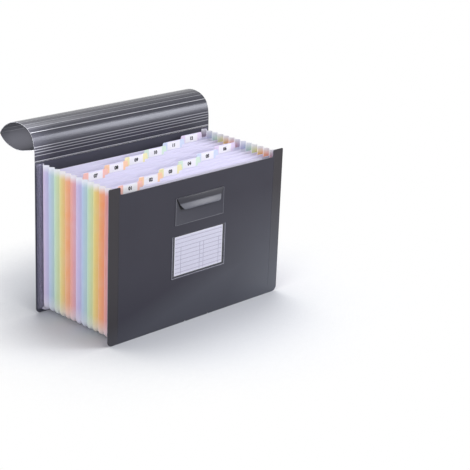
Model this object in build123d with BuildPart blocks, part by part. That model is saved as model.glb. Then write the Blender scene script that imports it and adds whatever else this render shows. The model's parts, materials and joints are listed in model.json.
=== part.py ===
from build123d import *
import os
from math import cos, pi, radians, sin, tan

# Expanding file: two stiff covers, thirteen pleated pockets between tabbed dividers,
# and a scored flap that is rolled back behind the back cover.
# Millimetres. X runs across the file, the front is at -Y and Z is up.
# The origin is the middle of the back cover's bottom edge.

os.makedirs("parts", exist_ok=True)

# Covers
cover_width = 330.0
cover_height = 222.0
cover_sheet = 0.8
cover_corner = 8.0
ear_width = 20.0
ear_drop = 10.5
ear_corner = 2.0
cutout_corner = 3.0
notch_radius = 1.7
notch_spacing = 45.0

# Pockets: the dividers stand one pitch apart, with a folded film round three sides of each pocket
pocket_count = 13
pocket_pitch = 11.9
divider_sheet = 0.5
divider_inset = 15.0
divider_foot = 10.0
divider_corner = 5.0
divider_drop = 12.0
gusset_film = 0.8
gusset_bulge = 5.5
gusset_drop = 3.0
flange_width = 9.0
flange_film = 0.4

# Index tabs, in two rows of steps from left to right
tabs_per_row = 6
tab_margin = 10.0
tab_gap = 2.0
tab_shoulder = 2.0
tab_height = 9.0
tab_corner = 1.5
tab_card_margin = 6.0
tab_card_height = 11.0
tab_card_sheet = 0.25
tab_card_drop = 1.2

# Flap: the strips between its creases, and how far each leans back from upright in degrees
spine_length = 26.0
spine_lean = 2.0
band_length = 18.0
band_lean = 26.0
fold_length = 24.0
fold_leans = [70.0, 100.0]
root_length = 24.0
root_lean = 124.0
curl_length = 18.0
curl_leans = [152.0, 201.0, 253.0]
tip_lean = 292.0
tongue_start = 124.0
tongue_drop = 98.0
crease_gap = 0.25

# Button and its rivet, near the tip of the tongue
button_setback = 20.0
button_diameter = 18.0
button_height = 3.0
button_edge = 1.0
rivet_diameter = 4.0
rivet_head_diameter = 6.5
rivet_head_height = 1.0
rivet_clearance = 0.05

# Catch on the front cover: a welded patch with a bent lip
catch_width = 92.0
catch_height = 39.5
catch_sheet = 0.8
catch_top = 186.5
catch_band = 8.5
lip_top_width = 79.0
lip_bottom_width = 69.0
lip_length = 8.5
lip_lean = 35.0
lip_corner = 3.0

# Label pocket and its card, which slides out to the right
card_width = 92.0
card_height = 57.0
card_sheet = 0.3
card_foot = 73.5
card_clearance = 0.1
card_side_clearance = 0.3
pocket_film = 0.3
pocket_rim = 5.0
pocket_lower_rim = 3.5
pocket_upper_rim = 1.2

# Elastic closing cord, its eyelets in the back cover and its crimped ferrule
cord_diameter = 2.8
eyelet_height = 18.0
eyelet_bore_clearance = 0.2
eyelet_wall = 0.6
eyelet_rim = 1.6
eyelet_rim_height = 0.5
eyelet_fit = 0.05
ferrule_length = 9.0
ferrule_width = 9.6
ferrule_height = 4.6
ferrule_clearance = 0.3
strand_in = (-84.0, 40.9, ferrule_height / 2)
loop_start = (-104.0, 40.4, ferrule_height / 2)
loop_end = (-104.0, 43.8, ferrule_height / 2)
strand_out = (-84.0, 44.0, ferrule_height / 2)
cord_route = [
    (-notch_spacing / 2, -cover_sheet / 2, eyelet_height),
    (-notch_spacing / 2, 13.0, eyelet_height),
    (-24.0, 25.0, 9.0),
    (-31.0, 35.0, 2.0),
    (-45.0, 41.0, 1.5),
    (-64.0, 42.2, 1.5),
    strand_in,
    loop_start,
    (-115.0, 36.5, 1.5),
    (-126.0, 35.5, 1.5),
    (-131.0, 42.0, 1.5),
    (-126.0, 48.5, 1.5),
    (-115.0, 47.5, 1.5),
    loop_end,
    strand_out,
    (-62.0, 47.0, 1.5),
    (-38.0, 50.0, 1.5),
    (-14.0, 48.0, 1.5),
    (6.0, 42.0, 1.5),
    (18.0, 34.0, 2.0),
    (21.5, 24.0, 9.0),
    (notch_spacing / 2, 13.0, eyelet_height),
    (notch_spacing / 2, -cover_sheet / 2, eyelet_height),
]

# Places that follow from the sizes above
half_sheet = cover_sheet / 2
half_width = cover_width / 2
pocket_depth = pocket_count * pocket_pitch
front_inner = -half_sheet - pocket_depth
front_outer = front_inner - cover_sheet
divider_half = half_width - divider_inset
divider_top = cover_height - divider_drop
gusset_top = cover_height - gusset_drop
flap_length = tongue_start + tongue_drop
tab_step = (2 * (divider_half - tab_margin) + tab_gap) / tabs_per_row
tab_width = tab_step - tab_gap
tab_card_width = tab_width - 2 * tab_card_margin


def upright(y):
    """The upright plane across the file at depth y, with X to the right and Z up."""
    return Plane.XZ.offset(-y)


def divider_depth(number):
    """The middle of a divider, counted from the front cover's inner face."""
    return front_inner + number * pocket_pitch


def finish(part, name):
    """Name a piece and write it out."""
    part.label = name
    export_step(part, f"parts/{name}.step")


# Back cover, with two holes for the cord's eyelets
eyelet_bore = cord_diameter / 2 + eyelet_bore_clearance
eyelet_barrel = eyelet_bore + eyelet_wall
with BuildPart() as back_cover:
    with BuildSketch(Plane.XZ) as back_outline:
        Rectangle(cover_width, cover_height - crease_gap, align=(Align.CENTER, Align.MIN))
        fillet(back_outline.vertices().group_by(Axis.Y)[0], cover_corner)
        with Locations((0, eyelet_height)):
            with GridLocations(notch_spacing, 0, 2, 1):
                Circle(eyelet_barrel + eyelet_fit, mode=Mode.SUBTRACT)
    extrude(amount=half_sheet, both=True)
finish(back_cover.part, "back_cover")

# Front cover, with an ear at each side and two notches that guide the cord
with BuildPart() as front_cover:
    with BuildSketch(upright(front_inner - half_sheet)) as front_outline:
        Rectangle(cover_width, cover_height, align=(Align.CENTER, Align.MIN))
        fillet(front_outline.vertices().group_by(Axis.Y)[0], cover_corner)
        with Locations((0, cover_height)):
            Rectangle(cover_width - 2 * ear_width, 2 * ear_drop, mode=Mode.SUBTRACT)
        fillet(front_outline.vertices().group_by(Axis.Y)[-1], ear_corner)
        cutout_corners = front_outline.vertices().filter_by_position(
            Axis.Y, cover_height - ear_drop - ear_corner / 2, cover_height - ear_drop + ear_corner / 2
        )
        fillet(cutout_corners, cutout_corner)
        with GridLocations(notch_spacing, 0, 2, 1):
            Circle(notch_radius, mode=Mode.SUBTRACT)
    extrude(amount=half_sheet, both=True)
finish(front_cover.part, "front_cover")

# Dividers, each with an index tab and the card in it
for number in range(1, pocket_count):
    step = (number - 1) % tabs_per_row
    tab_middle = (step - (tabs_per_row - 1) / 2) * tab_step
    with BuildPart() as divider:
        with BuildSketch(upright(divider_depth(number))) as divider_outline:
            with Locations((0, divider_foot)):
                Rectangle(2 * divider_half, divider_top - divider_foot, align=(Align.CENTER, Align.MIN))
            fillet(divider_outline.vertices().group_by(Axis.Y)[0], divider_corner)
            with Locations((tab_middle, divider_top)):
                Trapezoid(
                    tab_width,
                    tab_height,
                    left_side_angle=Vector(tab_shoulder, tab_height).get_angle(Vector(1, 0)),
                    align=(Align.CENTER, Align.MIN),
                )
            fillet(divider_outline.vertices().group_by(Axis.Y)[-1], tab_corner)
        extrude(amount=divider_sheet / 2, both=True)
    finish(divider.part, f"divider_{number:02d}")

    with BuildPart() as tab_card:
        with BuildSketch(upright(divider_depth(number) - divider_sheet / 2)):
            with Locations((tab_middle, divider_top + tab_height - tab_card_drop)):
                Rectangle(tab_card_width, tab_card_height, align=(Align.CENTER, Align.MAX))
        extrude(amount=tab_card_sheet)
    finish(tab_card.part, f"tab_card_{number:02d}")

# Gussets: a film folded outwards round the sides and bottom of each pocket.
# The first and last also have a flat flange that is welded to a cover.
for number in range(1, pocket_count + 1):
    opens_at_front_cover = number == 1
    ends_at_back_cover = number == pocket_count
    film_front = divider_depth(number - 1) + (0 if opens_at_front_cover else divider_sheet / 2)
    film_back = divider_depth(number) - (0 if ends_at_back_cover else divider_sheet / 2)
    film_middle = (film_front + film_back) / 2
    flange_offset = gusset_bulge * flange_film / (film_back - film_middle)
    front_edge = [(0, film_front)]
    back_edge = [(0, film_back)]
    if opens_at_front_cover:
        front_edge = [
            (flange_width, film_front),
            (flange_width, film_front + flange_film),
            (flange_offset, film_front + flange_film),
        ]
    if ends_at_back_cover:
        back_edge = [
            (flange_offset, film_back - flange_film),
            (flange_width, film_back - flange_film),
            (flange_width, film_back),
        ]
    film_start = Plane(origin=(-divider_half, 0, gusset_top), x_dir=(-1, 0, 0), z_dir=(0, 0, -1))
    with BuildPart() as gusset:
        with BuildLine(Plane.XZ) as gusset_path:
            FilletPolyline(
                (-divider_half, gusset_top),
                (-divider_half, divider_foot),
                (divider_half, divider_foot),
                (divider_half, gusset_top),
                radius=divider_corner,
            )
        with BuildSketch(film_start):
            with BuildLine():
                Polyline(
                    *front_edge,
                    (gusset_bulge, film_middle),
                    *back_edge,
                    (-gusset_film, film_back),
                    (gusset_bulge - gusset_film, film_middle),
                    (-gusset_film, film_front),
                    close=True,
                )
            make_face()
        sweep(path=gusset_path.line)
    finish(gusset.part, f"gusset_{number:02d}")

# Flap: one flat pattern with a round tongue, cut at its creases and laid along the roll
strips = [("flap_spine", spine_length, spine_lean), ("flap_band", band_length, band_lean)]
for count, lean in enumerate(fold_leans, start=1):
    strips.append((f"flap_fold_{count}", fold_length, lean))
strips.append(("flap_tongue_root", root_length, root_lean))
for count, lean in enumerate(curl_leans, start=1):
    strips.append((f"flap_curl_{count}", curl_length, lean))
tip_name = "flap_tongue_tip"
strips.append((tip_name, flap_length - sum(length for name, length, lean in strips), tip_lean))

crease = Vector(0, 0, cover_height)
crease_distance = 0.0
button_distance = flap_length - button_setback
for strip_name, length, lean in strips:
    along = Vector(0, sin(radians(lean)), cos(radians(lean)))
    inner_normal = Vector(0, -cos(radians(lean)), sin(radians(lean)))
    pattern_plane = Plane(origin=crease - along * crease_distance, x_dir=(1, 0, 0), z_dir=inner_normal)
    is_tip = strip_name == tip_name
    strip_start = crease_distance + crease_gap
    strip_end = crease_distance + length - (0 if is_tip else crease_gap)
    with BuildPart() as strip:
        with BuildSketch(pattern_plane):
            with BuildLine():
                Polyline(
                    (half_width, tongue_start), (half_width, 0), (-half_width, 0), (-half_width, tongue_start)
                )
                ThreePointArc((-half_width, tongue_start), (0, flap_length), (half_width, tongue_start))
            make_face()
            with Locations((0, strip_start)):
                Rectangle(
                    cover_width, strip_end - strip_start, align=(Align.CENTER, Align.MIN), mode=Mode.INTERSECT
                )
            if is_tip:
                with Locations((0, button_distance)):
                    Circle(rivet_diameter / 2 + rivet_clearance, mode=Mode.SUBTRACT)
        extrude(amount=half_sheet, both=True)
    finish(strip.part, strip_name)
    crease = crease + along * length
    crease_distance = crease_distance + length

# Button on the outer face of the tongue's tip, which is inside the roll
tip_outer = Plane(
    origin=pattern_plane.from_local_coords((0, button_distance, -half_sheet)),
    x_dir=(1, 0, 0),
    z_dir=inner_normal * -1,
)
with BuildPart() as button:
    with BuildSketch(tip_outer):
        Circle(button_diameter / 2)
        Circle(rivet_diameter / 2 + rivet_clearance, mode=Mode.SUBTRACT)
    extrude(amount=button_height)
    outer_rim = button.edges().filter_by(GeomType.CIRCLE).group_by(SortBy.RADIUS)[-1]
    fillet(outer_rim.sort_by(Axis.Z)[-1], button_edge)
finish(button.part, "button")

# Rivet through the button and the tongue, with a flat head at each end
with BuildPart() as rivet:
    with BuildSketch(tip_outer.offset(-cover_sheet)):
        Circle(rivet_diameter / 2)
    extrude(amount=cover_sheet + button_height)
    with BuildSketch(tip_outer.offset(-cover_sheet)):
        Circle(rivet_head_diameter / 2)
    extrude(amount=-rivet_head_height)
    with BuildSketch(tip_outer.offset(button_height)):
        Circle(rivet_head_diameter / 2)
    extrude(amount=rivet_head_height)
finish(rivet.part, "button_rivet")

# Catch: a flat patch welded to the front cover, with a band along its top that ends in a bent lip
patch_face = front_outer - catch_sheet
lip_root = catch_top - catch_band
lip_plane = Plane(
    origin=(0, patch_face, lip_root),
    x_dir=(1, 0, 0),
    z_dir=(0, -cos(radians(lip_lean)), sin(radians(lip_lean))),
)
with BuildPart() as catch:
    with BuildSketch(upright(front_outer)):
        with Locations((0, catch_top)):
            Rectangle(catch_width, catch_height, align=(Align.CENTER, Align.MAX))
    extrude(amount=catch_sheet)
    with BuildSketch(upright(patch_face)):
        with BuildLine():
            Polyline(
                (-lip_top_width / 2, lip_root),
                (lip_top_width / 2, lip_root),
                (catch_width / 2, catch_top),
                (-catch_width / 2, catch_top),
                close=True,
            )
        make_face()
    extrude(amount=catch_sheet)
    with BuildSketch(lip_plane) as lip_outline:
        with BuildLine():
            Polyline(
                (-lip_bottom_width / 2, -lip_length),
                (lip_bottom_width / 2, -lip_length),
                (lip_top_width / 2, 0),
                (-lip_top_width / 2, 0),
                close=True,
            )
        make_face()
        fillet(lip_outline.vertices().group_by(Axis.Y)[0], lip_corner)
    extrude(amount=catch_sheet)
finish(catch.part, "catch_patch")

# Label pocket: a clear film with a rim on three sides, open at the right for the card
card_top = card_foot + card_height
cavity_foot = card_foot - card_side_clearance
cavity_height = card_height + 2 * card_side_clearance
cavity_depth = card_sheet + 2 * card_clearance
pocket_width = card_width + 2 * pocket_rim
with BuildPart() as label_pocket:
    with BuildSketch(upright(front_outer)):
        with Locations((0, cavity_foot - pocket_lower_rim)):
            Rectangle(
                pocket_width,
                pocket_lower_rim + cavity_height + pocket_upper_rim,
                align=(Align.CENTER, Align.MIN),
            )
    extrude(amount=cavity_depth + pocket_film)
    with BuildSketch(upright(front_outer)):
        with Locations((-card_width / 2 - card_side_clearance, cavity_foot)):
            Rectangle(
                card_width + card_side_clearance + pocket_rim,
                cavity_height,
                align=(Align.MIN, Align.MIN),
            )
    extrude(amount=cavity_depth, mode=Mode.SUBTRACT)
finish(label_pocket.part, "label_pocket")

with BuildPart() as label_card:
    with BuildSketch(upright(front_outer - card_clearance)):
        with Locations((0, card_foot)):
            Rectangle(card_width, card_height, align=(Align.CENTER, Align.MIN))
    extrude(amount=card_sheet)
finish(label_card.part, "label_card")

# Eyelets: two rolled metal rings that line the cord's holes in the back cover
with BuildPart() as eyelets:
    with BuildSketch(upright(-half_sheet)):
        with Locations((0, eyelet_height)):
            with GridLocations(notch_spacing, 0, 2, 1):
                Circle(eyelet_barrel)
                Circle(eyelet_bore, mode=Mode.SUBTRACT)
    extrude(amount=-cover_sheet)
    with BuildSketch(upright(half_sheet)):
        with Locations((0, eyelet_height)):
            with GridLocations(notch_spacing, 0, 2, 1):
                Circle(eyelet_barrel + eyelet_rim)
                Circle(eyelet_bore, mode=Mode.SUBTRACT)
    extrude(amount=-eyelet_rim_height)
finish(eyelets.part, "cord_eyelets")


# Elastic cord: one length from eyelet to eyelet, doubled into a pull loop beyond the ferrule
def bend_radii(points):
    """The largest radius at each corner that leaves a tenth of each run straight."""
    radii = []
    for before, corner, after in zip(points, points[1:], points[2:]):
        arriving = Vector(*corner) - Vector(*before)
        leaving = Vector(*after) - Vector(*corner)
        half_turn = radians(arriving.get_angle(leaving)) / 2
        radii.append(0.45 * min(arriving.length, leaving.length) / tan(half_turn))
    return radii


cord_bends = bend_radii(cord_route)
with BuildPart() as elastic_cord:
    with BuildLine() as cord_path:
        FilletPolyline(*cord_route, radius=cord_bends)
    with BuildSketch(Plane(origin=cord_route[0], z_dir=(0, 1, 0))):
        Circle(cord_diameter / 2)
    sweep(path=cord_path.line)
finish(elastic_cord.part, "elastic_cord")
cord_length = cord_path.wires()[0].length
cord_volume = pi * cord_diameter**2 / 4 * cord_length
print("cord length", round(cord_length, 1), "bends", [round(radius, 1) for radius in cord_bends])
print("cord volume over section times length", round(elastic_cord.part.volume / cord_volume, 4))

# Ferrule: a flat crimped sleeve round both strands of the cord
first_strand = (Vector(*strand_in) + Vector(*loop_start)) / 2
second_strand = (Vector(*strand_out) + Vector(*loop_end)) / 2
ferrule_middle = (first_strand + second_strand) / 2
strand_spacing = second_strand.Y - first_strand.Y
with BuildPart() as ferrule:
    with BuildSketch(Plane.YZ.offset(ferrule_middle.X)):
        with Locations((ferrule_middle.Y, ferrule_middle.Z)):
            SlotOverall(ferrule_width, ferrule_height)
            with GridLocations(strand_spacing, 0, 2, 1):
                Circle(cord_diameter / 2 + ferrule_clearance, mode=Mode.SUBTRACT)
    extrude(amount=ferrule_length / 2, both=True)
finish(ferrule.part, "cord_ferrule")
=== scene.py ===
import json
from math import asin, ceil, pi, radians, sin, sqrt

import bpy
from mathutils import Matrix, Vector


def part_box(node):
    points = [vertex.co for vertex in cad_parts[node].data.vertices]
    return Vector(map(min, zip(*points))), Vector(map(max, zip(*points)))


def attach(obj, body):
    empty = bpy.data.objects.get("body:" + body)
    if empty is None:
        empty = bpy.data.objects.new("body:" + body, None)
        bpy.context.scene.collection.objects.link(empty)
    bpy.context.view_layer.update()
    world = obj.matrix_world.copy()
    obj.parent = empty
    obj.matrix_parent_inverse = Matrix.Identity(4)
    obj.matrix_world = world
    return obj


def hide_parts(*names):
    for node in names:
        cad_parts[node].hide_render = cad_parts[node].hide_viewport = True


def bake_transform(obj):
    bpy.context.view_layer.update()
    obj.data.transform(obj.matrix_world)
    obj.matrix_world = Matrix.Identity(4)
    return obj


# An expanding file, open, with its scored flap rolled back behind it.
# Metres. X runs across the file, the front is at -Y and Z is up, as in the frame.

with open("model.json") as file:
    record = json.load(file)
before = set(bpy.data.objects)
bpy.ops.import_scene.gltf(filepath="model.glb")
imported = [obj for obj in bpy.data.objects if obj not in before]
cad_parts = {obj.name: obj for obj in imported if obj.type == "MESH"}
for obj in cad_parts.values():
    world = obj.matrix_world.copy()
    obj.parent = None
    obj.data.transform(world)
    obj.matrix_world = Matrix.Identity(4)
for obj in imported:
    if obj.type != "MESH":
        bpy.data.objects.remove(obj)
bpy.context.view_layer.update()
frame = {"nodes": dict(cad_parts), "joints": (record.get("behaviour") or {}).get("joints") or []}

mm = 0.001
pocket_count = 13
divider_count = pocket_count - 1
colour_count = 6
merge_reach = 0.01 * mm
round_segments = 2

# Places that the frame gives
front_low, front_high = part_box("front_cover")
back_low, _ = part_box("back_cover")
catch_low, catch_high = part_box("catch_patch")
pocket_low, pocket_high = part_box("label_pocket")
card_low, card_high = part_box("label_card")
leaf_low, leaf_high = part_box("divider_06")
film_low, film_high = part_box("gusset_06")
front_face = front_low.y
cover_half = front_high.x
cover_top = front_high.z
leaf_half = leaf_high.x

# The photograph's camera
camera_place = (-1.266825, -1.450995, 0.763695)
camera_azimuth = radians(-45.958)
camera_elevation = radians(19.386)
camera_roll = radians(2.380)
camera_lens = 105.48

# Flap: its sheet, the distances of its pale scores and of its grooves, darkened with painted shade, from its
# base, and its round tongue
flap_sheet = 0.8 * mm
flap_row = 2.0 * mm
flap_base_gap = 0.15 * mm
crease_pull = 0.6
slope_step = 0.1 * mm
spine_scores = [1.5 * mm, 9.3 * mm, 13.8 * mm, 17.2 * mm, 20.7 * mm]
band_groove = 36.0 * mm
fold_score = 43.5 * mm
roll_start = 52.3 * mm
roll_pitch = 8.9 * mm
roll_count = 9
roll_scores = [roll_start + step * roll_pitch for step in range(roll_count)]
groove_step = 1.5 * mm
score_half_width = 0.7 * mm
score_clearance = 1.2 * score_half_width
score_height = 0.22 * mm
tongue_start = 124.0 * mm
tongue_drop = 98.0 * mm
tongue_radius = (cover_half ** 2 + tongue_drop ** 2) / (2 * tongue_drop)
tongue_centre = tongue_start + tongue_drop - tongue_radius
tip_rows = 12
tip_end = radians(89.6)

# How strongly each line on the flap shows: above nought for a raised pale score, below for a sunk groove
# darkened with painted shade
main_score = 1.0
spine_score = 0.6
spine_groove = -0.45
roll_score = 0.45
roll_groove = -0.5
faint_groove = -0.25
fold_groove = -1.0
second_fold_groove = -0.6

# Gussets: a thin film folded outwards round the sides and the bottom of each pocket
film_sheet = 0.3 * mm
film_corner = 5.0 * mm
fold_steps = 10
fold_sharpness = 1.35
side_steps = 12
corner_steps = 6
bottom_steps = 16
flange_width = 9.0 * mm
flange_root = 2.0 * mm

# Clear strips down the sides of the back cover
back_film_sheet = 0.4 * mm
back_film_gap = 0.05 * mm
back_film_inner = 1.5 * mm
back_film_outer = 12.5 * mm
back_film_foot = 6.0 * mm
back_film_round = 0.15 * mm

# Elastic cord, loose behind the back cover between its two eyelets, with its route in millimetres
cord_diameter = 2.8 * mm
cord_route = [
    (-22.5, -0.4, 18), (-22.5, 13, 18), (-24, 25, 9), (-31, 35, 2), (-45, 41, 1.5), (-64, 42.2, 1.5),
    (-84, 40.9, 2.3), (-104, 40.4, 2.3), (-115, 36.5, 1.5), (-126, 35.5, 1.5), (-131, 42, 1.5),
    (-126, 48.5, 1.5), (-115, 47.5, 1.5), (-104, 43.8, 2.3), (-84, 44, 2.3), (-62, 47, 1.5),
    (-38, 50, 1.5), (-14, 48, 1.5), (6, 42, 1.5), (18, 34, 2), (21.5, 24, 9), (22.5, 13, 18),
    (22.5, -0.4, 18),
]

# Film colours of the six-colour run, front to back, in linear light, how much paler the films at the back
# and the tabs are, and how much of its neighbour's colour a film shows where both meet at a divider
film_tones = [
    (0.89, 0.35, 0.26), (0.93, 0.46, 0.16), (0.81, 0.73, 0.25), (0.54, 0.76, 0.58), (0.47, 0.58, 0.82),
    (0.67, 0.52, 0.79),
]
film_paling = 0.12
tab_paling = 0.3
film_sharing = 0.5
cut_edge = (0.16, 0.16, 0.18)

# Heights over a film's foot and under its head where it starts to whiten and is whitest, and how much
# higher up the white of its head starts on the right. The white head is partly the film's own pale top and
# partly painted light
foot_white = (26.0 * mm, 4.0 * mm)
head_white = (12.0 * mm, 3.0 * mm)
right_white_rise = 1.2 * mm

# Front cover: raised welds, and a painted sheen that makes its sheet paler towards the lower right corner
# and in a wedge along the foot that rises to the right
weld_line = cover_half - 18.0 * mm
weld_bead = 0.8 * mm
weld_rise = 0.15 * mm
weld_sink = 0.05 * mm
weld_round = 0.08 * mm
side_weld_foot = 12.0 * mm
side_weld_head = 14.0 * mm
sheen_across = (-0.03, 0.16)
sheen_up = (0.17, 0.02)
sheen_wedge_rise = 0.28
sheen_wedge_ends = (0.073, 0.037)

# Catch: the patch, its slot and the cut tongue. Each row holds its distance down from the patch's top, for
# the tongue how far it stands out, and its half width, in millimetres
catch_sheet = 0.8 * mm
catch_border = 1.4 * mm
catch_press = 0.5 * mm
catch_press_depth = 0.25 * mm
catch_round = 0.15 * mm
catch_bead = 0.55 * mm
catch_bead_inset = 0.2 * mm
slot_sheet = 0.1 * mm
slot_depth = 0.19 * mm
slot_rows = [(1.2, 45.5), (17.8, 36.5)]
lip_sheet = 0.6 * mm
lip_depth = 0.25 * mm
lip_bend = 8.8 * mm
tongue_rows = [
    (0.4, 0.15, 44.5), (1.2, 0.75, 43.9), (8.0, 0.95, 39.8), (9.2, 1.3, 39.3), (11.0, 2.4, 38.2),
    (13.4, 4.0, 36.6), (15.0, 5.0, 35.2), (15.9, 5.6, 33.4), (16.3, 5.9, 31.0),
]

# Label pocket and the printed rules of its card
window_gap = 0.15 * mm
window_round = 0.05 * mm
label_bead = 0.7 * mm
label_bead_inset = 0.1 * mm
edge_blur = 0.4 * mm
card_border = 0.9 * mm
ruled_margin = 4.0 * mm
ruled_rows = 8
rule_width = 0.55 * mm
ruled_columns = [0.13, 0.52, 0.60, 0.92]

# Tabs and their printed numbers
tab_height = 9.0 * mm
tab_tint_foot = 0.2 * mm
tab_tint_full = 0.6 * mm
tab_white = 12.5 * mm
tab_blur = 0.3 * mm
number_size = 6.6 * mm
number_weight = 0.1 * mm
number_rim = 0.36 * mm
number_rise = 0.12
number_gap = 0.04 * mm

# Floor and light: the shares of open sky at which the floor is in full shade and clear of it, how slowly
# the shade fades, and each softbox's place, size and power
floor_size = 12.0
floor_drop = 0.0002
world_light = 0.5
shade_reach = 0.3
shade_samples = 16
shade_full = 0.45
shade_none = 0.93
shade_fade = 2.8
file_middle = (0.0, -0.08, 0.12)
softboxes = [
    ("right_front_softbox", (1.05, -1.10, 0.75), 0.65, 14.0),
    ("left_front_softbox", (-1.80, -0.80, 0.75), 1.1, 13.0),
    ("front_top_softbox", (-0.15, -1.45, 1.25), 0.9, 4.0),
    ("back_top_softbox", (0.45, 0.55, 1.6), 1.1, 11.0),
]
roll_end = (-0.165, 0.031, 0.249)
beam_place = (-0.853, -0.891, 0.571)
beam_angle = radians(3.6)
beam_power = 185.0
beam_softness = 0.7
beam_size = 0.02


# Tools for modelling


def deselect():
    if bpy.context.object and bpy.context.object.mode != "OBJECT":
        bpy.ops.object.mode_set(mode="OBJECT")
    bpy.ops.object.select_all(action="DESELECT")


def fit_block(low, high):
    """Bring the selected unit cube to its two corners."""
    bpy.ops.transform.resize(value=Vector(high) - Vector(low))
    bpy.ops.transform.translate(value=(Vector(low) + Vector(high)) / 2)


def start_box(low, high):
    """A box between two corners, open in edit mode."""
    deselect()
    bpy.ops.mesh.primitive_cube_add(size=1, location=(0, 0, 0))
    piece = bpy.context.object
    bpy.ops.object.mode_set(mode="EDIT")
    fit_block(low, high)
    return piece


def start_line(places):
    """A drawn line through some places, open in edit mode."""
    deselect()
    bpy.ops.mesh.primitive_plane_add(size=mm, location=(0, 0, 0))
    piece = bpy.context.object
    bpy.ops.object.mode_set(mode="EDIT")
    bpy.ops.mesh.select_mode(type="VERT")
    bpy.ops.mesh.select_all(action="SELECT")
    bpy.ops.mesh.merge(type="CENTER")
    bpy.ops.transform.translate(value=places[0])
    for before, after in zip(places, places[1:]):
        step = Vector(after) - Vector(before)
        bpy.ops.mesh.extrude_vertices_move(TRANSFORM_OT_translate={"value": step})
    bpy.ops.mesh.select_mode(type="EDGE")
    bpy.ops.mesh.select_all(action="SELECT")
    return piece


def pull_edges(step, times=1):
    """Draw the selected edges out by a step, some times over."""
    for _ in range(times):
        bpy.ops.mesh.extrude_edges_move(TRANSFORM_OT_translate={"value": step})


def pick_faces(piece, wanted):
    """Select only the faces whose centre and normal are wanted."""
    bpy.ops.mesh.select_mode(type="FACE")
    bpy.ops.mesh.select_all(action="DESELECT")
    bpy.ops.object.mode_set(mode="OBJECT")
    for face in piece.data.polygons:
        face.select = wanted(face.center, face.normal)
    bpy.ops.object.mode_set(mode="EDIT")


def apply_modifier(piece, kind, **settings):
    modifier = piece.modifiers.new(kind.lower(), kind)
    for name, value in settings.items():
        setattr(modifier, name, value)
    bpy.ops.object.modifier_apply(modifier=modifier.name)


def round_edges(piece, width, angle=None):
    """Round the edges of a piece, or only those that turn by more than an angle in degrees."""
    limit = {} if angle is None else {"limit_method": "ANGLE", "angle_limit": radians(angle)}
    apply_modifier(piece, "BEVEL", width=width, segments=round_segments, **limit)


def close_sheet(piece, thickness, facing=None, back=0, rim=0):
    """Turn an open sheet's faces one way, its first face as given, and thicken it.
    Back and rim say how many material slots on the back face and the cut edge are."""
    bpy.ops.object.mode_set(mode="EDIT")
    bpy.ops.mesh.select_all(action="SELECT")
    bpy.ops.mesh.remove_doubles(threshold=merge_reach)
    bpy.ops.mesh.normals_make_consistent(inside=False)
    bpy.ops.object.mode_set(mode="OBJECT")
    if facing is not None and piece.data.polygons[0].normal.dot(facing) < 0:
        bpy.ops.object.mode_set(mode="EDIT")
        bpy.ops.mesh.flip_normals()
        bpy.ops.object.mode_set(mode="OBJECT")
    apply_modifier(piece, "SOLIDIFY", thickness=thickness, offset=0.0, material_offset=back,
                   material_offset_rim=rim)


def dress(piece, name, materials, angle):
    """Name a finished piece, smooth its turns up to an angle and give it its materials."""
    deselect()
    piece.select_set(True)
    bpy.context.view_layer.objects.active = piece
    bpy.ops.object.shade_smooth_by_angle(angle=radians(angle))
    piece.name = name
    piece.data.name = name
    for material in materials:
        piece.data.materials.append(material)


# Materials


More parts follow.
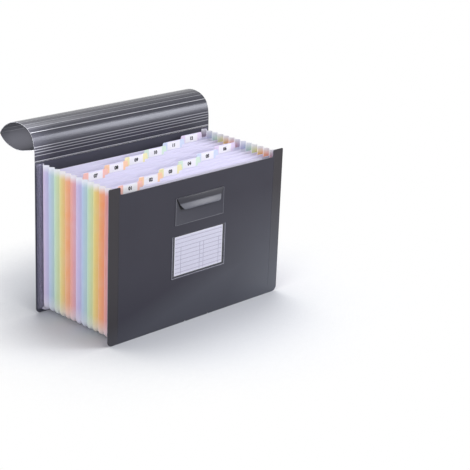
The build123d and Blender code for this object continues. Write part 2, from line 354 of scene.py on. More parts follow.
class Finish:
    """A material with its shader, and short ways to add nodes to it."""

    def __init__(self, name, roughness, **sockets):
        self.material = bpy.data.materials.new(name)
        self.material.use_nodes = True
        self.nodes = self.material.node_tree.nodes
        self.links = self.material.node_tree.links
        self.shader = self.nodes["Principled BSDF"]
        self.shader.inputs["Roughness"].default_value = roughness
        for socket, value in sockets.items():
            self.shader.inputs[socket.replace("_", " ")].default_value = value

    def add(self, kind, **settings):
        node = self.nodes.new(kind)
        for name, value in settings.items():
            setattr(node, name, value)
        return node

    def join(self, output, socket):
        self.links.new(output, socket)

    def place(self):
        return self.add("ShaderNodeTexCoord").outputs["Object"]

    def axes(self):
        split = self.add("ShaderNodeSeparateXYZ")
        self.join(self.place(), split.inputs[0])
        return split.outputs

    def rim(self):
        """One on the cut edges of a sheet that faces front and back, and nought on its faces."""
        split = self.add("ShaderNodeSeparateXYZ")
        self.join(self.add("ShaderNodeTexCoord").outputs["Normal"], split.inputs[0])
        return self.stretch(self.maths("ABSOLUTE", split.outputs["Y"]), 0.6, 0.4)

    def within(self, low, high, margin):
        """One inside a box, seen from the front and some margin in from its sides, and nought outside."""
        axes = self.axes()
        shares = []
        for axis, start, end in (("X", low.x, high.x), ("Z", low.z, high.z)):
            half = (end - start) / 2 - margin
            away = self.maths("ABSOLUTE", self.maths("SUBTRACT", axes[axis], (start + end) / 2))
            shares.append(self.stretch(away, half, half - edge_blur))
        return self.maths("MINIMUM", *shares)

    def attribute(self, name):
        return self.add("ShaderNodeAttribute", attribute_name=name).outputs["Fac"]

    def noise(self, scale, detail=3.0):
        texture = self.add("ShaderNodeTexNoise")
        texture.inputs["Scale"].default_value = scale
        texture.inputs["Detail"].default_value = detail
        self.join(self.place(), texture.inputs["Vector"])
        return texture.outputs["Fac"]

    def maths(self, operation, first, second=0.0):
        node = self.add("ShaderNodeMath", operation=operation)
        for socket, value in zip(node.inputs, (first, second)):
            if isinstance(value, (int, float)):
                socket.default_value = value
            else:
                self.join(value, socket)
        return node.outputs[0]

    def stretch(self, value, low, high, to_low=0.0, to_high=1.0):
        """A value between low and high, stretched and held between two others."""
        node = self.add("ShaderNodeMapRange")
        self.join(value, node.inputs["Value"])
        ends = {"From Min": low, "From Max": high, "To Min": to_low, "To Max": to_high}
        for name, number in ends.items():
            node.inputs[name].default_value = number
        return node.outputs["Result"]

    def mix(self, share, first, second):
        """One colour passing into another by a share."""
        node = self.add("ShaderNodeMix", data_type="RGBA")
        self.join(share, node.inputs["Factor"])
        for name, colour in (("A", first), ("B", second)):
            socket = [s for s in node.inputs if s.name == name and s.type == "RGBA"][0]
            if isinstance(colour, tuple):
                socket.default_value = (*colour, 1.0)
            else:
                self.join(colour, socket)
        return [s for s in node.outputs if s.type == "RGBA"][0]

    def colour(self, output):
        self.join(output, self.shader.inputs["Base Color"])

    def rough(self, share, smooth, coarse):
        self.join(self.stretch(share, 0.3, 0.7, smooth, coarse), self.shader.inputs["Roughness"])

    def bump(self, height, strength, distance):
        node = self.add("ShaderNodeBump")
        node.inputs["Strength"].default_value = strength
        node.inputs["Distance"].default_value = distance
        self.join(height, node.inputs["Height"])
        self.join(node.outputs["Normal"], self.shader.inputs["Normal"])


def charcoal(name, dark, light, roughness=0.34, gloss=0.32):
    """Charcoal sheet with a fine satin grain."""
    finish = Finish(name, roughness, Specular_IOR_Level=gloss)
    tone = finish.mix(finish.noise(14.0), dark, light)
    grain = finish.noise(1400.0, 2.0)
    finish.rough(grain, roughness - 0.04, roughness + 0.05)
    finish.bump(grain, 0.12, 0.05 * mm)
    return finish, tone


def cover_plastic(name, dark, light):
    finish, tone = charcoal(name, dark, light)
    finish.colour(finish.mix(finish.rim(), tone, cut_edge))
    return finish.material


def flap_plastic(name, dark, light, crease, roughness, gloss, full_score):
    """Flap sheet: pale along its scores, most where their share is full, and darkened with painted shade in
    its grooves.
    """
    finish, tone = charcoal(name, dark, light, roughness, gloss)
    finish.shader.inputs["Specular Tint"].default_value = (0.86, 0.88, 1.0, 1.0)
    score = finish.attribute("score")
    tone = finish.mix(finish.stretch(score, 0.0, full_score, 0.0, 0.9), tone, crease)
    # Painted shade: the sheet turns near black in its grooves
    finish.colour(finish.mix(finish.stretch(score, 0.0, -1.0, 0.0, 0.95), tone, (0.006, 0.006, 0.008)))
    return finish.material


def cut_edge_plastic():
    finish, tone = charcoal("cut_edge_charcoal", (0.20, 0.20, 0.22), (0.27, 0.27, 0.29), 0.5)
    finish.colour(tone)
    return finish.material


def front_tone(name):
    """The front's charcoal, a little warmer over the side welds, and with a painted sheen that makes it
    paler towards the lower right corner and along the foot."""
    finish, tone = charcoal(name, (0.021, 0.020, 0.032), (0.028, 0.027, 0.041))
    axes = finish.axes()
    side = finish.maths("ABSOLUTE", axes["X"])
    weld = finish.stretch(side, weld_line - mm, weld_line + mm, 0.0, 0.6)
    tone = finish.mix(weld, tone, (0.028, 0.0235, 0.023))
    # Painted sheen: paler towards the lower right corner and in a wedge along the foot
    across = finish.stretch(axes["X"], *sheen_across)
    corner = finish.maths("MULTIPLY", across, finish.stretch(axes["Z"], *sheen_up))
    slant = finish.maths("SUBTRACT", axes["Z"], finish.maths("MULTIPLY", axes["X"], sheen_wedge_rise))
    foot = finish.stretch(slant, *sheen_wedge_ends, 0.0, 0.48)
    return finish, finish.mix(finish.maths("MAXIMUM", corner, foot), tone, (0.078, 0.083, 0.102))


def side_weld_plastic():
    finish, tone = front_tone("side_weld_charcoal")
    finish.colour(tone)
    return finish.material


def front_plastic():
    """The front cover's charcoal, with painted shade that makes it darker inside the label pocket."""
    finish, tone = front_tone("front_charcoal")
    # Painted shade: darker inside the label pocket, under its window round the card
    tone = finish.mix(finish.within(pocket_low, pocket_high, label_bead), tone, (0.008, 0.008, 0.014))
    finish.colour(finish.mix(finish.rim(), tone, cut_edge))
    return finish.material


def paler(colour, share):
    return tuple(value + share * (1 - value) for value in colour)


def blended(first, second, share):
    return tuple(a + share * (b - a) for a, b in zip(first, second))


def film_tone(number):
    """The colour of a pocket's film, paler towards the back of the file."""
    number = min(max(number, 1), pocket_count)
    return paler(film_tones[(number - 2) % colour_count], film_paling * number / pocket_count)


def pocket_film(number):
    """Tinted film: its neighbours' colours glow through where they meet, and its fold and ends are white,
    the head partly with painted light.
    """
    finish = Finish(f"pocket_film_tint_{number:02d}", 0.38, Transmission_Weight=0.12, IOR=1.2)
    across = finish.attribute("across")
    own = film_tone(number)
    front = blended(own, film_tone(number - 1), film_sharing)
    back = blended(own, film_tone(number + 1), film_sharing)
    tone = finish.mix(finish.stretch(across, 0.1, 0.45), front, own)
    tone = finish.mix(finish.stretch(across, 0.55, 0.9), tone, back)
    from_fold = finish.maths("ABSOLUTE", finish.maths("SUBTRACT", across, 0.5))
    tone = finish.mix(finish.stretch(from_fold, 0.08, 0.0, 0.0, 0.25), tone, (0.90, 0.89, 0.93))
    axes = finish.axes()
    foot = finish.stretch(axes["Z"], *[film_low.z + up for up in foot_white], 0.0, 0.7)
    right = finish.stretch(axes["X"], -mm, mm, 0.0, right_white_rise)
    height = finish.maths("SUBTRACT", axes["Z"], right)
    # The whiter head is partly the film's own pale top and partly painted light on the shaded insides of the
    # pleats
    head = finish.stretch(height, *[film_high.z - down for down in head_white], 0.0, 0.9)
    tone = finish.mix(finish.maths("MAXIMUM", foot, head), tone, (0.88, 0.88, 0.94))
    clouds = finish.stretch(finish.noise(60.0), 0.3, 0.7, 0.0, 0.12)
    finish.colour(finish.mix(clouds, tone, (0.85, 0.85, 0.90)))
    finish.rough(finish.noise(220.0), 0.32, 0.45)
    finish.bump(finish.noise(500.0), 0.08, 0.1 * mm)
    return finish.material


def clear_film(name):
    """Untinted film that shows the dark back cover through it."""
    finish = Finish(name, 0.28, Alpha=0.16)
    finish.colour(finish.mix(finish.noise(25.0), (0.50, 0.48, 0.66), (0.64, 0.62, 0.80)))
    finish.rough(finish.noise(220.0), 0.22, 0.36)
    return finish.material


def tab_ends(finish, axes, card):
    """One past a tab's white middle, where both ends of the tab have the pocket's own colour."""
    from_middle = finish.maths("SUBTRACT", axes["X"], (card[0].x + card[1].x) / 2)
    away = finish.maths("ABSOLUTE", from_middle)
    return finish.stretch(away, tab_white - tab_blur, tab_white + tab_blur)


def divider_frost(name, tint, card):
    """Frosted sheet, white, with both ends of its tab tinted."""
    finish = Finish(name, 0.5)
    axes = finish.axes()
    sheet = finish.mix(finish.noise(40.0), (0.74, 0.72, 0.90), (0.81, 0.79, 0.95))
    tab_foot = leaf_high.z - tab_height
    in_tab = finish.stretch(axes["Z"], tab_foot + tab_tint_foot, tab_foot + tab_tint_full)
    finish.colour(finish.mix(finish.maths("MULTIPLY", tab_ends(finish, axes, card), in_tab), sheet, tint))
    finish.rough(finish.noise(300.0), 0.42, 0.58)
    finish.bump(finish.noise(900.0), 0.08, 0.05 * mm)
    return finish.material


def tab_paper(name, tint, card):
    """Matt white card with a faint fibre, printed at both ends in the tab's colour."""
    finish = Finish(name, 0.75)
    paper = finish.mix(finish.noise(350.0, 5.0), (0.84, 0.83, 0.90), (0.92, 0.91, 0.95))
    finish.colour(finish.mix(tab_ends(finish, finish.axes(), card), paper, tint))
    finish.rough(finish.noise(500.0), 0.68, 0.82)
    finish.bump(finish.noise(1500.0, 4.0), 0.15, 0.04 * mm)
    return finish.material


def lip_plastic():
    """The lip's finish: dark charcoal on its flat root, and a painted highlight, pale grey, where it bends
    out of the patch.
    """
    finish, tone = charcoal("lip_painted_highlight", (0.085, 0.087, 0.110), (0.112, 0.115, 0.142), 0.4)
    # Painted highlight: the lip is pale grey below its bend and dark charcoal above it
    root = finish.stretch(finish.axes()["Z"], catch_high.z - lip_bend - mm, catch_high.z - lip_bend + mm)
    finish.colour(finish.mix(root, tone, (0.026, 0.026, 0.036)))
    return finish.material


def ruled_paper():
    """White card printed with ruled rows and, below the first two, a few columns."""
    finish = Finish("ruled_card", 0.7)
    axes = finish.axes()
    row_pitch = (card_high.z - card_low.z - 2 * ruled_margin) / ruled_rows
    from_top = finish.maths("SUBTRACT", card_high.z - ruled_margin, axes["Z"])
    from_rule = finish.maths("PINGPONG", from_top, 0.5 * row_pitch)
    lines = finish.stretch(from_rule, rule_width, 0.5 * rule_width)
    below_head = finish.stretch(from_top, 2 * row_pitch, 2 * row_pitch + rule_width)
    for share in ruled_columns:
        column = card_low.x + share * (card_high.x - card_low.x)
        away = finish.maths("ABSOLUTE", finish.maths("SUBTRACT", axes["X"], column))
        rule = finish.stretch(away, 1.1 * rule_width, 0.6 * rule_width)
        lines = finish.maths("MAXIMUM", lines, finish.maths("MULTIPLY", rule, below_head))
    paper = finish.mix(finish.noise(350.0, 5.0), (0.62, 0.61, 0.70), (0.68, 0.67, 0.75))
    inner = finish.mix(finish.noise(350.0, 5.0), (0.51, 0.50, 0.61), (0.57, 0.56, 0.66))
    printed = finish.mix(finish.maths("MULTIPLY", lines, 0.85), inner, (0.26, 0.25, 0.35))
    finish.colour(finish.mix(finish.within(card_low, card_high, card_border), paper, printed))
    finish.bump(finish.noise(1500.0, 4.0), 0.12, 0.04 * mm)
    return finish.material


def label_clear(name, alpha):
    """Thin glossy film that shows what lies behind it."""
    finish = Finish(name, 0.16, Alpha=alpha)
    finish.colour(finish.mix(finish.noise(30.0), (0.55, 0.55, 0.60), (0.70, 0.70, 0.75)))
    finish.bump(finish.noise(35.0, 1.0), 0.1, 0.3 * mm)
    return finish.material


def plain_finish(name, dark, light, roughness, scale, metallic=0.0):
    """A moulded, printed or metal finish with a fine mottled grain."""
    finish = Finish(name, roughness, Metallic=metallic)
    grain = finish.noise(scale, 4.0)
    finish.colour(finish.mix(grain, dark, light))
    finish.rough(grain, roughness * 0.85, roughness * 1.15)
    finish.bump(grain, 0.1, 0.05 * mm)
    return finish.material


def braided_cord():
    """Black elastic with a fine crossed braid."""
    finish = Finish("braided_cord", 0.65)
    braid = finish.add("ShaderNodeTexVoronoi")
    braid.inputs["Scale"].default_value = 1300.0
    finish.join(finish.place(), braid.inputs["Vector"])
    finish.colour(finish.mix(braid.outputs["Distance"], (0.035, 0.035, 0.038), (0.010, 0.010, 0.012)))
    finish.bump(braid.outputs["Distance"], 0.5, 0.2 * mm)
    return finish.material


# Camera


def add_camera():
    bpy.ops.object.camera_add(location=camera_place)
    camera = bpy.context.object
    turn = Matrix.Rotation(camera_azimuth, 3, "Z") @ Matrix.Rotation(pi / 2 - camera_elevation, 3, "X")
    camera.rotation_euler = (turn @ Matrix.Rotation(camera_roll, 3, "Z")).to_euler()
    camera.data.lens = camera_lens
    bpy.context.scene.camera = camera


# Elastic cord


def add_cord():
    curve = bpy.data.curves.new("cord", "CURVE")
    curve.dimensions = "3D"
    spline = curve.splines.new("NURBS")
    spline.points.add(len(cord_route) - 1)
    for point, place in zip(spline.points, cord_route):
        point.co = (*(Vector(place) * mm), 1.0)
    spline.order_u = 3
    spline.use_endpoint_u = True
    spline.resolution_u = 8
    curve.bevel_depth = cord_diameter / 2
    curve.bevel_resolution = 5
    curve.use_fill_caps = True
    cord = bpy.data.objects.new("cord", curve)
    bpy.context.scene.collection.objects.link(cord)
    curve.materials.append(braided_cord())
    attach(cord, "back_cover")
    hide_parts("elastic_cord")


# Gussets


def pocket_side(number):
    """The body and the depth at the back of a pocket; pocket 0's back is the front cover."""
    if number == 0:
        return "front_cover", front_high.y
    if number == pocket_count:
        return "back_cover", back_low.y
    low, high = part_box(f"divider_{number:02d}")
    return f"divider_{number:02d}", (low.y + high.y) / 2


def fold_line(number, front, back):
    """The film's section at the top of its left side, from front to back."""
    top = film_high.z
    line = []
    for step in range(fold_steps + 1):
        across = step / fold_steps
        out = (film_high.x - leaf_half) * (1 - abs(2 * across - 1) ** fold_sharpness)
        line.append((-leaf_half - out, front + across * (back - front), top))
    if number == 1:
        line.insert(0, (-leaf_half - flange_width, front, top))
    if number == pocket_count:
        line.append((-leaf_half - flange_width, back, top))
    return line


def round_corner(centre):
    """Turn the film's open end through a quarter, round one of the lower corners."""
    bpy.ops.mesh.spin(steps=corner_steps, angle=pi / 2, center=centre, axis=(0, 1, 0))


def add_gusset(number, materials):
    front_body, front = pocket_side(number - 1)
    back_body, back = pocket_side(number)
    gap = leaf_high.y - leaf_low.y
    front += film_sheet if number == 1 else gap
    back -= film_sheet if number == pocket_count else gap
    piece = start_line(fold_line(number, front, back))
    corner_height = leaf_low.z + film_corner
    corner_reach = leaf_half - film_corner
    drop = Vector((0, 0, (corner_height - film_high.z) / side_steps))
    pull_edges(drop, side_steps)
    round_corner((-corner_reach, 0, corner_height))
    pull_edges(Vector((2 * corner_reach / bottom_steps, 0, 0)), bottom_steps)
    round_corner((corner_reach, 0, corner_height))
    pull_edges(-drop, side_steps)
    bpy.ops.object.mode_set(mode="OBJECT")
    across = piece.data.attributes.new("across", "FLOAT", "POINT")
    for point, value in zip(piece.data.vertices, across.data):
        value.value = (point.co.y - front) / (back - front)
    close_sheet(piece, film_sheet)
    for face in piece.data.polygons:
        on_cover = min(abs(face.center.y - front), abs(face.center.y - back)) < film_sheet
        face.material_index = 1 if on_cover and abs(face.center.x) > leaf_half + flange_root else 0
    dress(piece, f"pocket_film_{number:02d}", materials, 60)
    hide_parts(f"gusset_{number:02d}")
    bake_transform(piece)


def add_gussets(clear):
    """All pockets' films. The flange that is welded to a cover is clear."""
    for number in range(1, pocket_count + 1):
        materials = [pocket_film(number), clear] if number in (1, pocket_count) else [pocket_film(number)]
        add_gusset(number, materials)


def add_back_films(material):
    """The clear strip down each side of the back cover, which carries the last pocket's film."""
    for name, side in (("left", -1), ("right", 1)):
        reach = sorted((side * (leaf_half + back_film_inner), side * (leaf_half + back_film_outer)))
        face = back_low.y - back_film_gap
        piece = start_box((reach[0], face - back_film_sheet, back_low.z + back_film_foot),
                          (reach[1], face, film_high.z))
        bpy.ops.object.mode_set(mode="OBJECT")
        round_edges(piece, back_film_round)
        dress(piece, f"back_film_{name}", [material], 60)
        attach(piece, "back_cover")


# Flap


def flap_creases():
    """The flap's creases and the tongue's end, as places in the middle plane of the file."""
    creases = [Vector(j["pos_m"]) for j in frame["joints"] if j["name"].startswith("flap_crease")]
    tip_low, tip_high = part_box("flap_tongue_tip")
    return creases + [Vector((0, tip_low.y, tip_high.z))]


def flap_half_width(along):
    if along < tongue_start:
        return cover_half
    return sqrt(max(tongue_radius ** 2 - (along - tongue_centre) ** 2, 0))


def flap_marks():
    """How strongly each line along the flap shows, by its distance from the base."""
    marks = {}
    for scores, score_share, groove_share in (
        (spine_scores, spine_score, spine_groove), (roll_scores, roll_score, roll_groove)
    ):
        for score in scores:
            marks[score] = score_share
            marks[score + groove_step] = groove_share
    marks[spine_scores[0]] = main_score
    marks[band_groove] = faint_groove
    marks[fold_score] = main_score
    marks[fold_score - groove_step] = fold_groove
    marks[fold_score + 2 * groove_step] = second_fold_groove
    return marks


def flap_rows(start, end):
    """Distances along the sheet where a stretch of the flap has a row of points, with the share at each."""
    rows = {start: 0.0, end: 0.0}
    count = ceil((end - start) / flap_row)
    for step in range(1, count):
        rows[start + step * (end - start) / count] = 0.0
    marks = {place: share for place, share in flap_marks().items() if start < place < end}
    rows = {place: 0.0 for place in rows if all(abs(place - mark) > score_clearance for mark in marks)}
    for mark, share in marks.items():
        rows.update({mark - score_half_width: 0.0, mark: share, mark + score_half_width: 0.0})
    rows.setdefault(start, 0.0)
    rows.setdefault(end, 0.0)
    return sorted(rows.items())


def flap_bend_line(creases, number):
    """The sheet from the middle of a strip, past the crease at its end, to the middle of the next strip:
    where it starts and ends, both distances along the sheet, and the place at any distance."""
    lengths = [(b - a).length for a, b in zip(creases, creases[1:])]
    middles = [(a + b) / 2 for a, b in zip(creases, creases[1:])]
    enter, crease, leave = middles[number], creases[number + 1], middles[number + 1]
    enter_along = sum(lengths[:number]) + lengths[number] / 2
    leave_along = sum(lengths[:number + 1]) + lengths[number + 1] / 2
    handles = [enter, enter.lerp(crease, crease_pull), leave.lerp(crease, crease_pull), leave]

    def place(along):
        if along <= enter_along:
            return enter + (crease - enter).normalized() * (along - enter_along)
        if along >= leave_along:
            return leave + (leave - crease).normalized() * (along - leave_along)
        t = (along - enter_along) / (leave_along - enter_along)
        shares = [(1 - t) ** 3, 3 * t * (1 - t) ** 2, 3 * t * t * (1 - t), t ** 3]
        return sum((share * handle for share, handle in zip(shares, handles)), Vector())

    return enter, leave, enter_along, leave_along, place


def outward(place, along):
    """The direction out of the sheet's front face at a distance along it."""
    ahead = place(along + slope_step) - place(along - slope_step)
    return Vector((0, -ahead.z, ahead.y)).normalized()


def tip_distances(start):
    """Distances along the sheet where the tongue's round tip has a row of points, closer towards its end."""
    first = asin((start - tongue_centre) / tongue_radius)
    angles = [first + (tip_end - first) * step / tip_rows for step in range(1, tip_rows + 1)]
    return [tongue_centre + tongue_radius * sin(angle) for angle in angles]


def add_flap_bend(number, creases, strips, materials):
    """One stretch of the flap, from the middle of a strip to the middle of the next, bent at the crease."""
    enter, leave, enter_along, leave_along, place = flap_bend_line(creases, number)
    last = number == len(strips) - 2
    rows = flap_rows(flap_base_gap if number == 0 else enter_along, leave_along)
    if last:
        rows += [(along, 0.0) for along in tip_distances(leave_along)]
    places = [place(along) + outward(place, along) * share * score_height for along, share in rows]
    half = flap_half_width(rows[0][0])
    piece = start_line([places[0] + Vector((-half, 0, 0)), places[0] + Vector((half, 0, 0))])
    for before, after, (along, _) in zip(places, places[1:], rows[1:]):
        pull_edges(after - before)
        narrower = flap_half_width(along) / half
        if narrower < 1:
            bpy.ops.transform.resize(value=(narrower, 1, 1), center_override=(0, 0, 0))
        half = flap_half_width(along)
    bpy.ops.object.mode_set(mode="OBJECT")
    score = piece.data.attributes.new("score", "FLOAT", "POINT")
    for point in piece.data.vertices:
        score.data[point.index].value = rows[point.index // 2][1]
    for material in materials:
        piece.data.materials.append(material)
    close_sheet(piece, flap_sheet, facing=outward(place, rows[0][0]), back=1, rim=2)
    dress(piece, f"flap_bend_{number + 1}", [], 50)
    replaced = strips[number:] if last else [strips[number]]
    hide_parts(*replaced)
    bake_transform(piece)


def add_flap():
    materials = [
        flap_plastic("flap_charcoal", (0.038, 0.038, 0.050), (0.048, 0.048, 0.062),
                     crease=(0.60, 0.60, 0.65), roughness=0.24, gloss=0.38, full_score=1.0),
        flap_plastic("flap_back_charcoal", (0.048, 0.048, 0.056), (0.058, 0.058, 0.067),
                     crease=(0.20, 0.20, 0.21), roughness=0.6, gloss=0.25, full_score=0.5),
        cut_edge_plastic(),
    ]
    creases = flap_creases()
    strips = [j["child"] for j in frame["joints"] if j["name"].startswith("flap_crease")]
    for number in range(len(strips) - 1):
        add_flap_bend(number, creases, strips, materials)


# Front cover's fittings


def add_weld(name, bars, material):
    """A fine raised weld, made of straight bars, on the front cover or on what is welded to it."""
    piece = start_box(*bars[0])
    for low, high in bars[1:]:
        bpy.ops.mesh.select_all(action="DESELECT")
        bpy.ops.mesh.primitive_cube_add(size=1, location=(0, 0, 0))
        fit_block(low, high)
    bpy.ops.object.mode_set(mode="OBJECT")
    round_edges(piece, weld_round)
    dress(piece, name, [material], 60)
    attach(piece, "front_cover")


def edge_bars(low, high, face, inset, width):
    """Bars along the left, right and lower edges of a box, on a face at some depth."""
    out, back = face - weld_rise, face + weld_sink
    left, right, foot, head = low.x + inset, high.x - inset, low.z + inset, high.z - inset
    return [
        ((left, out, foot), (left + width, back, head)),
        ((right - width, out, foot), (right, back, head)),
        ((left + width, out, foot), (right - width, back, foot + width)),
    ]


def add_side_welds(material):
    for name, side in (("left", -1), ("right", 1)):
        middle = side * weld_line
        bar = ((middle - weld_bead / 2, front_face - weld_rise, front_low.z + side_weld_foot),
               (middle + weld_bead / 2, front_face + weld_sink, cover_top - side_weld_head))
        add_weld(f"side_weld_{name}", [bar], material)


def add_catch(material, weld, dark, pale):
    """The welded patch with a pressed border, and the cut tongue that bends out of its slot into a lip."""
    face = front_face - catch_sheet
    patch = start_box((catch_low.x, face, catch_low.z), (catch_high.x, front_face, catch_high.z))
    pick_faces(patch, lambda centre, normal: normal.y < -0.9)
    bpy.ops.mesh.inset(thickness=catch_border, depth=0)
    bpy.ops.mesh.inset(thickness=catch_press, depth=-catch_press_depth)
    bpy.ops.object.mode_set(mode="OBJECT")
    round_edges(patch, catch_round, 30)
    dress(patch, "catch_plate", [material], 35)
    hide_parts("catch_patch")
    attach(patch, "front_cover")
    bars = edge_bars(catch_low, catch_high, face, catch_bead_inset, catch_bead)
    add_weld("catch_weld", bars, weld)
    add_slot(face + slot_depth, dark)
    add_lip(face + lip_depth, pale)


def add_slot(face, material):
    """A near-black sheet of painted shade in the slot that the tongue is cut from."""
    (slot_head, slot_top_half), (slot_foot, slot_foot_half) = slot_rows
    top = Vector((slot_top_half * mm, face, catch_high.z - slot_head * mm))
    slot = start_line([top * Vector((-1, 1, 1)), top])
    pull_edges(Vector((0, 0, (slot_head - slot_foot) * mm)))
    bpy.ops.transform.resize(value=(slot_foot_half / slot_top_half, 1, 1), center_override=(0, 0, 0))
    bpy.ops.object.mode_set(mode="OBJECT")
    close_sheet(slot, slot_sheet)
    dress(slot, "catch_slot_shade", [material], 30)
    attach(slot, "front_cover")


def add_lip(face, material):
    """The cut tongue, which bends out of the slot."""
    rows = [(Vector((0, face - out * mm, catch_high.z - down * mm)), half * mm)
            for down, out, half in tongue_rows]
    start, half = rows[0]
    lip = start_line([start + Vector((-half, 0, 0)), start + Vector((half, 0, 0))])
    for (before, wide), (after, narrow) in zip(rows, rows[1:]):
        pull_edges(after - before)
        bpy.ops.transform.resize(value=(narrow / wide, 1, 1), center_override=(0, 0, 0))
    close_sheet(lip, lip_sheet)
    round_edges(lip, catch_round, 50)
    dress(lip, "catch_lip", [material], 40)
    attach(lip, "front_cover")


def add_label_pocket(material, weld):
    """A clear pocket: a thin window over the card, with a pale weld on three sides."""
    back = card_low.y - window_gap
    window = start_box(pocket_low, (pocket_high.x, back, pocket_high.z))
    bpy.ops.object.mode_set(mode="OBJECT")
    round_edges(window, window_round, 30)
    dress(window, "label_window", [material], 40)
    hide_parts("label_pocket")
    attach(window, "front_cover")
    bars = edge_bars(pocket_low, pocket_high, pocket_low.y, label_bead_inset, label_bead)
    add_weld("label_weld", bars, weld)


# Tabs


def add_tab_number(number, ink):
    """A plain printed number on a tab's card."""
    low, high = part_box(f"tab_card_{number:02d}")
    deselect()
    bpy.ops.object.text_add(location=(0, 0, 0))
    text = bpy.context.object
    text.data.body = f"{number:02d}"
    text.data.size = number_size
    text.data.offset = number_weight
    text.data.bevel_depth = number_rim
    text.data.align_x = "CENTER"
    text.data.align_y = "CENTER"
    bpy.ops.object.convert(target="MESH")
    text = bpy.context.object
    text.rotation_euler = (pi / 2, 0, 0)
    text.scale.z = number_rise
    text.location = ((low.x + high.x) / 2, low.y - number_gap, (low.z + high.z) / 2)
    bpy.ops.object.transform_apply(location=True, rotation=True, scale=True)
    dress(text, f"tab_number_{number:02d}", [ink], 30)
    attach(text, f"divider_{number:02d}")


# Carried-over nodes get their finishes


def paint(node, material):
    piece = frame["nodes"][node]
    piece.data.materials.clear()
    piece.data.materials.append(material)


def add_leaves():
    """Dividers, tab cards and numbers, pocket by pocket."""
    ink = plain_finish("tab_ink", (0.004, 0.004, 0.006), (0.011, 0.011, 0.014), 0.6, 900.0)
    for number in range(1, divider_count + 1):
        tint = paler(film_tones[(number - 1) % colour_count], tab_paling)
        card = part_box(f"tab_card_{number:02d}")
        paint(f"divider_{number:02d}", divider_frost(f"divider_frost_{number:02d}", tint, card))
        paint(f"tab_card_{number:02d}", tab_paper(f"tab_paper_{number:02d}", tint, card))
        add_tab_number(number, ink)


def finish_cad_nodes():
    paint("back_cover", cover_plastic("back_charcoal", (0.050, 0.050, 0.070), (0.060, 0.060, 0.082)))
    paint("front_cover", front_plastic())
    paint("label_card", ruled_paper())
    black = plain_finish("button_black", (0.012, 0.012, 0.013), (0.020, 0.020, 0.022), 0.3, 300.0)
    steel = plain_finish("rivet_steel", (0.55, 0.55, 0.57), (0.70, 0.70, 0.72), 0.25, 700.0, 1.0)
    crimped = plain_finish("ferrule_steel", (0.40, 0.40, 0.42), (0.52, 0.52, 0.54), 0.4, 500.0, 1.0)
    paint("button", black)
    paint("button_rivet", steel)
    paint("cord_eyelets", steel)
    paint("cord_ferrule", crimped)


# Floor and light


def seen_rays(nodes, links):
    """One for rays that show the background: straight from the camera, mirrored or passed through."""
    path = nodes.new("ShaderNodeLightPath")
    seen = path.outputs["Is Camera Ray"]
    for ray in ("Is Glossy Ray", "Is Transmission Ray"):
        either = nodes.new("ShaderNodeMath")
        either.operation = "MAXIMUM"
        links.new(seen, either.inputs[0])
        links.new(path.outputs[ray], either.inputs[1])
        seen = either.outputs[0]
    return seen


def add_floor():
    """A white floor with the lamps' soft shadow round the file's foot, deepened by painted shade where the
    file hides the sky, and white elsewhere.
    """
    deselect()
    bpy.ops.mesh.primitive_plane_add(size=floor_size, location=(0, 0, -floor_drop))
    floor = bpy.context.object
    floor.name = "floor"
    finish = Finish("floor_white", 0.9, Specular_IOR_Level=0.0)
    sky = finish.add("ShaderNodeAmbientOcclusion", samples=shade_samples)
    sky.inputs["Distance"].default_value = shade_reach
    open_sky = finish.stretch(sky.outputs["AO"], shade_full, shade_none)
    pale = finish.mix(finish.noise(2.0), (0.78, 0.81, 0.89), (0.80, 0.83, 0.91))
    far = finish.maths("POWER", open_sky, shade_fade)
    # Painted shade: the floor's colour darkens where ambient occlusion finds the sky hidden by the file
    finish.colour(finish.mix(far, (0.60, 0.615, 0.665), pale))
    white = finish.add("ShaderNodeEmission")
    blend = finish.add("ShaderNodeMixShader")
    finish.join(finish.maths("MULTIPLY", far, seen_rays(finish.nodes, finish.links)), blend.inputs["Fac"])
    finish.join(finish.shader.outputs["BSDF"], blend.inputs[1])
    finish.join(white.outputs["Emission"], blend.inputs[2])
    finish.join(blend.outputs[0], finish.nodes["Material Output"].inputs["Surface"])
    floor.data.materials.append(finish.material)


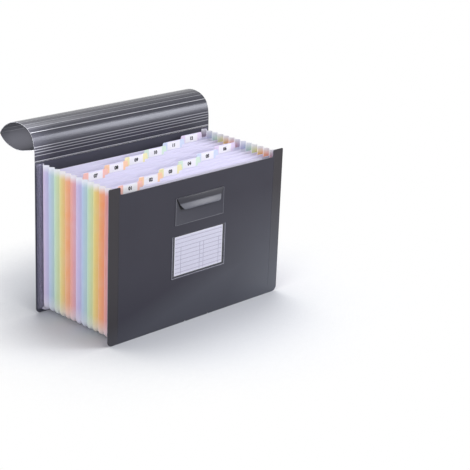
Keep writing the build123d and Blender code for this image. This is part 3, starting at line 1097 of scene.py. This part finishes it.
def add_world():
    world = bpy.data.worlds.new("studio")
    bpy.context.scene.world = world
    world.use_nodes = True
    nodes = world.node_tree.nodes
    links = world.node_tree.links
    background = nodes["Background"]
    background.inputs["Color"].default_value = (1.0, 1.0, 1.0, 1.0)
    strength = nodes.new("ShaderNodeMapRange")
    strength.inputs["To Min"].default_value = world_light
    strength.inputs["To Max"].default_value = 1.0
    links.new(seen_rays(nodes, links), strength.inputs["Value"])
    links.new(strength.outputs["Result"], background.inputs["Strength"])


def add_lamp(kind, name, place, aim, power):
    """A lamp of some kind, turned towards what it is aimed at."""
    deselect()
    bpy.ops.object.light_add(type=kind, location=place)
    lamp = bpy.context.object
    lamp.name = name
    lamp.data.energy = power
    lamp.rotation_euler = (Vector(aim) - Vector(place)).to_track_quat("-Z", "Y").to_euler()
    return lamp.data


def add_lamps():
    """Four softboxes round the file, and a narrow soft beam into the left end of the flap's roll."""
    for name, place, size, power in softboxes:
        lamp = add_lamp("AREA", name, place, file_middle, power)
        lamp.shape = "DISK"
        lamp.size = size
    beam = add_lamp("SPOT", "roll_end_spot", beam_place, roll_end, beam_power)
    beam.spot_size = beam_angle
    beam.spot_blend = beam_softness
    beam.shadow_soft_size = beam_size


add_camera()
add_cord()
film_clear = clear_film("film_clear")
add_gussets(film_clear)
add_back_films(film_clear)
add_flap()
patch_charcoal = cover_plastic("patch_charcoal", (0.036, 0.036, 0.050), (0.045, 0.045, 0.060))
# Painted highlight: pale grey beads along the catch patch's edges
weld_painted_highlight = plain_finish("weld_painted_highlight", (0.11, 0.11, 0.13), (0.16, 0.16, 0.19), 0.45, 600.0)
# Painted shade: a near-black finish for the sheet that stands in for the shade in the catch's slot
slot_painted_shade = plain_finish("slot_painted_shade", (0.004, 0.004, 0.005), (0.009, 0.009, 0.011), 0.8, 600.0)
add_side_welds(side_weld_plastic())
add_catch(patch_charcoal, weld_painted_highlight, slot_painted_shade, lip_plastic())
label_weld_clear = plain_finish("label_weld_clear", (0.24, 0.24, 0.30), (0.32, 0.32, 0.39), 0.35, 600.0)
add_label_pocket(label_clear("label_clear", 0.04), label_weld_clear)
add_leaves()
finish_cad_nodes()
add_floor()
add_world()
add_lamps()

bpy.context.scene.view_settings.view_transform = "Standard"
